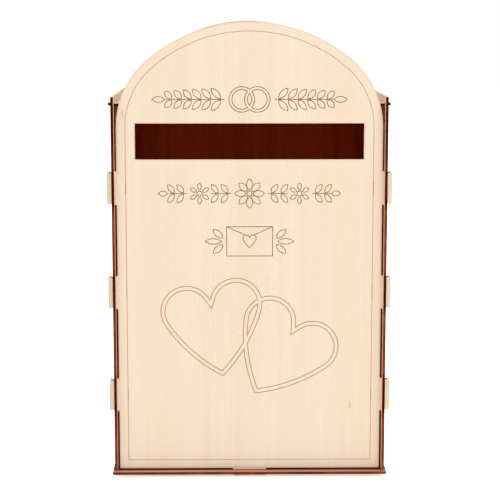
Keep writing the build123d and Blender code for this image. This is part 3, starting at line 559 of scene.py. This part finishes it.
def painted_foot_shade(shader, places):
    """Painted shade on the base along the foot of the front and back panels, darkening it for the
    shadowed gap under them.
    """
    far, near = FOOT_SHADE_LIMITS
    return shader.fade(shader.math("ABSOLUTE", places["y"]), BACK_HIGH.y + far,
                       BACK_HIGH.y + near, 0.0, FOOT_SHADE_SHARE)


def plate_cuts(low, high, across, up):
    """Distance to the edge of a plain rectangular panel, as a function for plywood()."""
    def cuts(shader, places):
        return rectangle_distance(shader, places[across], places[up], getattr(low, across),
                                  getattr(high, across), getattr(low, up), getattr(high, up))
    return cuts


def even_burn(amount):
    """The same charring along every edge, as a function for plywood()."""
    return lambda shader, places: amount


def side_burn_and_sheen(shader, places):
    """Darker charring on a side's edges beside each tab and towards the top, and a paler
    upper edge, a painted sheen of the grazing view along it."""
    burn = shader.fade(places["z"], *(SIDE_HIGH.z - drop for drop in SIDE_BURN_LIMITS),
                       *SIDE_BURNS)
    for level in TAB_LEVELS:
        away = shader.math("ABSOLUTE", shader.math("SUBTRACT", places["z"], level))
        at_tab = shader.fade(away, *(TAB_HALF * share for share in SIDE_TAB_LIMITS),
                             *SIDE_TAB_BURNS)
        burn = shader.highest(burn, at_tab)
    top_sheen = shader.fade(places["z"], *(SIDE_HIGH.z - SHEET * share
                                        for share in SIDE_TOP_LIMITS))
    return shader.math("MULTIPLY_ADD", top_sheen, SIDE_TOP_SHEEN, burn)


FRONT_MARKS = (                                 # across, up, half width, half height
    (-0.1150, 0.3330, 0.0022, 0.0065),
    (-0.0725, 0.1330, 0.0030, 0.0022),
    (0.0930, 0.0640, 0.0014, 0.0060),
)


def wood_materials():
    """One plywood material for each panel, by node name."""
    side_cuts = plate_cuts(SIDE_LOW, SIDE_HIGH, "y", "z")
    left_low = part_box("side_panel_left")[0]
    return {
        "front_panel": plywood("front_plywood", "y", FRONT_LOW.y, 1, "z", (0, 0, 0), front_cuts,
                               arched_edge_burn, face_darkening=barb_soot, marks=FRONT_MARKS, engraved=True),
        "back_panel": plywood("back_plywood", "y", BACK_LOW.y, -1, "z", (0.7, 0, 0.3),
                              back_cuts, arched_edge_burn, BACK_INNER, barb_soot),
        "back_door": plywood("door_plywood", "y", DOOR_LOW.y, -1, "z", (0.7, 0, 0.3),
                             plate_cuts(DOOR_LOW, DOOR_HIGH, "x", "z"), even_burn(DOOR_BURN),
                             DOOR_INNER),
        "side_panel_left": plywood("left_plywood", "x", left_low.x, 1, "z", (0, 1.1, 0.2),
                                   side_cuts, side_burn_and_sheen),
        "side_panel_right": plywood("right_plywood", "x", SIDE_LOW.x, -1, "z", (0, 2.3, 0.6),
                                    side_cuts, side_burn_and_sheen),
        "base_plate": plywood("base_plywood", "z", BASE_LOW.z, 1, "x", (0.4, 0, 0),
                              plate_cuts(BASE_LOW, BASE_HIGH, "x", "y"), even_burn(BASE_BURN),
                              BASE_INNER, painted_foot_shade),
        "top_plate": plywood("top_plywood", "z", TOP_LOW.z, -1, "x", (0.9, 0.2, 0),
                             plate_cuts(TOP_LOW, TOP_HIGH, "x", "y"), even_burn(TOP_BURN)),
    }


# ---- Metal materials -----------------------------------------------------------------
BRUSH_ALONG, BRUSH_ACROSS = 160, 5200           # cells per metre
DULL_CELLS = (170, 170, 170)
DULL_LIMITS = (0.30, 0.78)
DULL_ROUGHNESS, BRUSH_ROUGHNESS = 0.16, 0.08    # added to the plain roughness
METAL_BUMP, METAL_BUMP_HEIGHT = 0.25, 0.00004


def metal(name, bright, dull, roughness, brush_axis="z"):
    """A worn metal: lines brushed along one axis, and dull patches."""
    material, shader, surface = new_material(name)
    position = shader.put("ShaderNodeTexCoord").outputs["Object"]
    cells = tuple(BRUSH_ALONG if axis == brush_axis else BRUSH_ACROSS for axis in "xyz")
    brushed = shader.noise(shader.stretch(position, cells), detail=2)
    patches = shader.noise(shader.stretch(position, DULL_CELLS), detail=4, roughness=0.65)
    dullness = shader.fade(patches, *DULL_LIMITS)
    colour = shader.mix(dullness, bright, dull)
    rough = shader.math("MULTIPLY_ADD", dullness, DULL_ROUGHNESS, roughness)
    rough = shader.math("MULTIPLY_ADD", brushed, BRUSH_ROUGHNESS, rough)
    surface.inputs["Metallic"].default_value = 1.0
    material.node_tree.links.new(colour, surface.inputs["Base Color"])
    material.node_tree.links.new(rough, surface.inputs["Roughness"])
    bumps = shader.bump(brushed, METAL_BUMP, METAL_BUMP_HEIGHT)
    material.node_tree.links.new(bumps, surface.inputs["Normal"])
    return material


def metal_materials():
    """The metal of each piece of hardware, by node name."""
    hinge = metal("hinge_brass", srgb(184, 148, 88), srgb(138, 104, 58), 0.30)
    bolt = metal("bolt_brass", srgb(196, 162, 100), srgb(150, 118, 68), 0.24, "x")
    zinc = metal("zinc_steel", srgb(158, 161, 166), srgb(136, 138, 142), 0.36)
    nickel = metal("lock_nickel", srgb(178, 175, 168), srgb(152, 148, 140), 0.20, "y")
    key = metal("key_nickel", srgb(172, 170, 164), srgb(144, 140, 132), 0.26)
    chosen = {}
    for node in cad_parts:
        if node.startswith("hinge") and node.endswith("bolts"):
            chosen[node] = bolt
        elif node.startswith("hinge") and not node.endswith("nuts"):
            chosen[node] = hinge
    for node in ("hinge_frame_nuts", "hinge_door_nuts", "lock_nut", "lock_cam", "lock_cam_screw"):
        chosen[node] = zinc
    for node in ("lock_barrel", "lock_plug"):
        chosen[node] = nickel
    chosen["lock_key"] = key
    return chosen


def finish_nodes():
    """Gives every CAD node its material."""
    for build in (wood_grain_group, laser_edge_group, smoke_group, rectangle_group, arch_group):
        build()
    for node, material in {**wood_materials(), **metal_materials()}.items():
        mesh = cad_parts[node].data
        mesh.materials.clear()
        mesh.materials.append(material)


# ---- Stage, light and camera ---------------------------------------------------------
FLOOR_HALF = 8.0
FLOOR_GREY = (0.9, 0.9, 0.9, 1)
FLOOR_ROUGHNESS = 0.9
FLOOR_GLOW = 0.5
WHITE = (1, 1, 1, 1)
SURROUND_STRENGTH = 1.0
SOFTBOXES = (                                   # name, place, size, power in watts
    ("right_softbox", (0.95, -1.25, 1.15), 1.0, 4.6),
    ("left_softbox", (-1.9, -2.0, 1.2), 1.6, 2),
    ("top_softbox", (0.2, -0.3, 2.4), 1.8, 12),
    ("slot_fill", (0, -3.2, 0.62), 0.3, 3),
    ("back_right_softbox", (1.5, 1.5, 1.5), 1.2, 8),
    ("back_left_softbox", (-1.5, 1.5, 1.5), 1.2, 7),
)
CAMERA_DISTANCE = 1.386                         # in front of the front panel
CAMERA_SIDE = 0.0004                            # to the right of the middle
CAMERA_RISE = 0.0058                            # over the top of the arch
CAMERA_PITCH = math.radians(8.71)
CAMERA_YAW = math.radians(0.7)                  # towards the left of the box
CAMERA_LENS = 110.4                             # millimetres, as the sensor
SENSOR = 36.0
CAMERA_FAR = 50                                 # clipping distance


def stage():
    """A plain pale floor under the box, and a white surround."""
    floor_z = CAD_BOX[0].z
    half = FLOOR_HALF
    mesh = bpy.data.meshes.new("floor")
    corners = [(-half, -half, floor_z), (half, -half, floor_z), (half, half, floor_z),
               (-half, half, floor_z)]
    mesh.from_pydata(corners, [], [(0, 1, 2, 3)])
    floor = bpy.data.objects.new("floor", mesh)
    bpy.context.scene.collection.objects.link(floor)
    material, _, surface = new_material("floor_white")
    surface.inputs["Base Color"].default_value = FLOOR_GREY
    surface.inputs["Roughness"].default_value = FLOOR_ROUGHNESS
    surface.inputs["Emission Color"].default_value = WHITE
    surface.inputs["Emission Strength"].default_value = FLOOR_GLOW
    mesh.materials.append(material)
    world = bpy.data.worlds.new("surround")
    world.use_nodes = True
    background = world.node_tree.nodes["Background"]
    background.inputs["Color"].default_value = WHITE
    background.inputs["Strength"].default_value = SURROUND_STRENGTH
    bpy.context.scene.world = world


def soft_light(name, place, aim, size, power):
    """A square softbox aimed at a point."""
    light = bpy.data.lights.new(name, "AREA")
    light.size = size
    light.energy = power
    lamp = bpy.data.objects.new(name, light)
    lamp.location = place
    direction = Vector(aim) - Vector(place)
    lamp.rotation_euler = direction.to_track_quat("-Z", "Y").to_euler()
    bpy.context.scene.collection.objects.link(lamp)


def lights():
    """Large softboxes at the right front, left front, overhead and behind, and a small low
    fill that reaches through the letter slot."""
    middle = (0, 0, ARCH_TOP / 2)
    for name, place, size, power in SOFTBOXES:
        soft_light(name, place, middle, size, power)


def camera():
    """A long lens just over the arch, tilted a little down."""
    data = bpy.data.cameras.new("camera")
    data.sensor_width = SENSOR
    data.lens = CAMERA_LENS
    data.clip_end = CAMERA_FAR
    view = bpy.data.objects.new("camera", data)
    view.location = (CAMERA_SIDE - CAMERA_DISTANCE * math.sin(CAMERA_YAW),
                     FRONT_LOW.y - CAMERA_DISTANCE * math.cos(CAMERA_YAW),
                     ARCH_TOP + CAMERA_RISE)
    view.rotation_euler = (math.pi / 2 - CAMERA_PITCH, 0, -CAMERA_YAW)
    bpy.context.scene.collection.objects.link(view)
    bpy.context.scene.camera = view


finish_nodes()
stage()
lights()
camera()
bpy.context.scene.view_settings.view_transform = "Standard"
